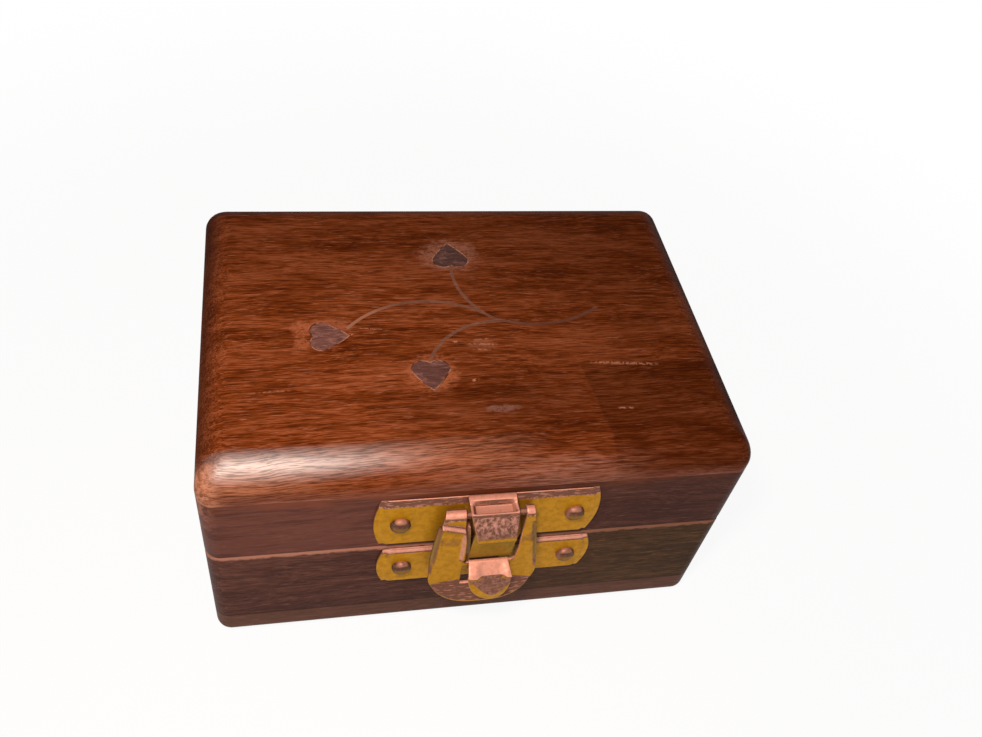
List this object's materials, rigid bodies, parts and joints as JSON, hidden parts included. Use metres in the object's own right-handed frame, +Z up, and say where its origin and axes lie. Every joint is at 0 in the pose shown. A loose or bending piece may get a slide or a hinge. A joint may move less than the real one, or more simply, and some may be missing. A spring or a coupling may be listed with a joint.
{
  "type": "jewelry box",
  "caption": "Small wooden jewelry box with a hinged lid, rounded top edges, a vine and heart-leaf inlay and a brass hasp that swings on the lid and catches on the base.",
  "frame": {"origin": "middle of the underside of the box", "axes": "+X to the right seen from the clasp side, +Y to the hinged back, +Z up"},
  "size_m": [0.1, 0.0783, 0.0535],
  "materials": {
    "wood": "open-grain rosewood, waxed and worn",
    "dark_inlay": "dark hardwood slip, sanded flush",
    "stem_inlay": "thin strip, sanded flush",
    "brass": "stamped sheet, aged",
    "velvet": "velvet over a thin pad"
  },
  "bodies": {
    "base": {"bottom_board": "wood", "base_front_wall": "wood", "base_back_wall": "wood", "base_left_wall": "wood", "base_right_wall": "wood", "floor_pad": "velvet", "hinge_left_base_leaf": "brass", "hinge_right_base_leaf": "brass", "hinge_left_pin": "brass", "hinge_right_pin": "brass", "hinge_base_nails": "brass", "clasp_catch_plate": "brass", "clasp_catch_nails": "brass"},
    "lid": {"lid_top_board": "wood", "lid_front_wall": "wood", "lid_back_wall": "wood", "lid_left_wall": "wood", "lid_right_wall": "wood", "lid_pad": "velvet", "leaf_inlay_back": "dark_inlay", "leaf_inlay_left": "dark_inlay", "leaf_inlay_front": "dark_inlay", "vine_stem_main": "stem_inlay", "vine_stem_left": "stem_inlay", "vine_stem_front": "stem_inlay", "hinge_left_lid_leaf": "brass", "hinge_right_lid_leaf": "brass", "hinge_lid_nails": "brass", "clasp_lid_plate": "brass", "clasp_lid_nails": "brass", "clasp_pin": "brass"},
    "hasp": {"clasp_hasp": "brass"}
  },
  "joints": [
    {"name": "lid_open", "type": "hinge", "parent": "base", "child": "lid", "pos_m": [0, 0.0333, 0.02935], "axis": [-1, 0, 0], "range_deg": [0, 98]},
    {"name": "hasp_swing", "type": "hinge", "parent": "lid", "child": "hasp", "pos_m": [0.00025, -0.03785, 0.0417], "axis": [-1, 0, 0], "range_deg": [-6, 150]}
  ]
}
